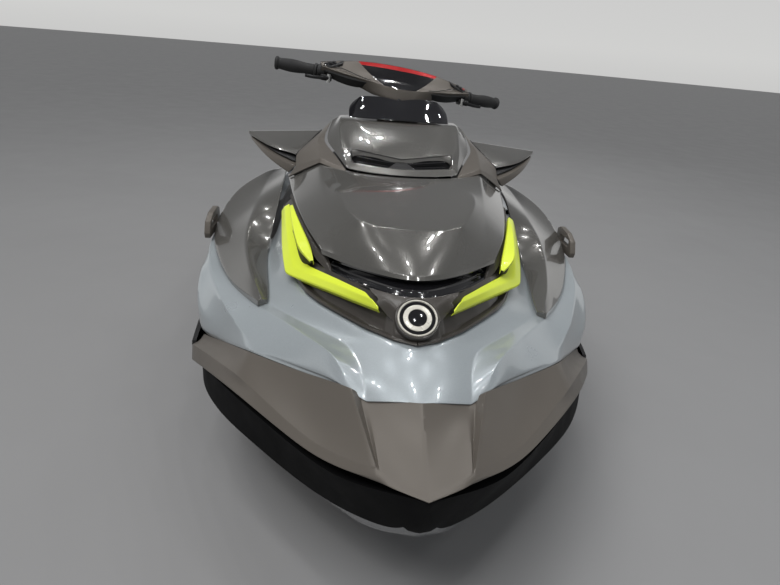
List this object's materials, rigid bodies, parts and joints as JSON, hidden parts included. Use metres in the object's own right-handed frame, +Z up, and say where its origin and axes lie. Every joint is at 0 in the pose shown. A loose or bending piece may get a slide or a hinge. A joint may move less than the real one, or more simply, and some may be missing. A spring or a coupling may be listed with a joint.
{
  "type": "personal watercraft",
  "caption": "Personal watercraft with straddle seats, steering bars, jet pump with steered nozzle and reverse bucket, opening front storage and boarding step.",
  "frame": {"origin": "on the centre line at the laden waterline, 1.35 m forward of the transom and 0.28 m above the keel", "axes": "+X towards the bow, +Y to port, +Z up"},
  "size_m": [3.472, 1.252, 1.1427],
  "materials": {
    "hull_gelcoat": "glossy grey lower hull, black upper band",
    "deck_silver": "glossy silver-grey metallic",
    "panel_grey": "glossy warm dark grey metallic",
    "trim_taupe": "matte taupe",
    "black_matte": "matte black moulded plastic",
    "black_gloss": "gloss black",
    "accent_yellow": "satin neon yellow-green",
    "red_gloss": "glossy red",
    "screen_tint": "dark tinted",
    "mirror": "polished",
    "display_glass": "glossy dark screen",
    "rubber": "matte black rubber",
    "mat_foam": "grooved foam mat",
    "seat_vinyl": "grained vinyl",
    "steel": "brushed stainless steel",
    "alloy": "cast alloy",
    "bar_black": "black coated tube",
    "engine": "painted block",
    "badge": "plain round disc",
    "bin_plastic": "moulded bin"
  },
  "bodies": {
    "craft": {"hull": "hull_gelcoat", "engine": "engine", "bow_bumper": "trim_taupe", "rub_rails": "black_matte", "bow_deck": "deck_silver", "gunwales": "deck_silver", "seat_pedestal": "trim_taupe", "swim_platform": "trim_taupe", "deck_mats": "mat_foam", "console": "trim_taupe", "storage_bin": "bin_plastic", "hood": "panel_grey", "fascia": "trim_taupe", "grille": "black_gloss", "badge": "badge", "accents": "accent_yellow", "side_panels": "panel_grey", "cleats": "trim_taupe", "cowl_shoulders": "trim_taupe", "mirrors": "panel_grey", "mirror_glass": "mirror", "steering_mount": "black_matte", "seat_front": "seat_vinyl", "seat_rear": "seat_vinyl", "grab_handle": "black_matte", "tow_eye": "steel", "bow_eye": "steel", "sponsons": "black_matte", "pump_housing": "alloy", "ride_plate": "alloy", "intake_grate": "alloy", "step_brackets": "alloy"},
    "handlebar": {"handlebar": "bar_black", "grips": "rubber", "handlebar_cover": "trim_taupe", "levers": "bar_black", "switch_pods": "black_matte"},
    "front_lid": {"front_cowl": "panel_grey", "vent_grille": "black_gloss", "windscreen": "screen_tint", "display": "display_glass"},
    "glovebox_lid": {"glovebox_lid": "panel_grey"},
    "impeller": {"impeller": "steel"},
    "trim_ring": {"trim_ring": "alloy"},
    "steering_nozzle": {"steering_nozzle": "black_matte"},
    "reverse_bucket": {"reverse_bucket": "alloy"},
    "boarding_step": {"boarding_step": "black_matte"}
  },
  "joints": [
    {"name": "steering", "type": "hinge", "parent": "craft", "child": "handlebar", "pos_m": [0.74, 0, 0.614], "axis": [-0.4695, 0, 0.8829], "range_deg": [-38, 12]},
    {"name": "front_lid_hinge", "type": "hinge", "parent": "craft", "child": "front_lid", "pos_m": [1.099, 0, 0.566], "axis": [0, 1, 0], "range_deg": [0, 60]},
    {"name": "glovebox_hinge", "type": "hinge", "parent": "craft", "child": "glovebox_lid", "pos_m": [0.632, 0, 0.472], "axis": [0, 1, 0], "range_deg": [0, 70]},
    {"name": "impeller_spin", "type": "hinge", "parent": "craft", "child": "impeller", "pos_m": [-0.915, 0, -0.17], "axis": [1, 0, 0], "continuous": true},
    {"name": "nozzle_trim", "type": "hinge", "parent": "craft", "child": "trim_ring", "pos_m": [-1.15, 0, -0.17], "axis": [0, 1, 0], "range_deg": [-8, 8]},
    {"name": "nozzle_steer", "type": "hinge", "parent": "trim_ring", "child": "steering_nozzle", "pos_m": [-1.15, 0, -0.17], "axis": [0, 0, 1], "range_deg": [-10, 31]},
    {"name": "bucket_hinge", "type": "hinge", "parent": "craft", "child": "reverse_bucket", "pos_m": [-1.105, 0, -0.17], "axis": [0, -1, 0], "range_deg": [0, 45]},
    {"name": "step_hinge", "type": "hinge", "parent": "craft", "child": "boarding_step", "pos_m": [-1.37, 0, -0.162], "axis": [0, -1, 0], "range_deg": [0, 165]}
  ],
  "couplings": [
    {"joint": "nozzle_steer", "follows": "steering", "ratio": -0.8}
  ]
}
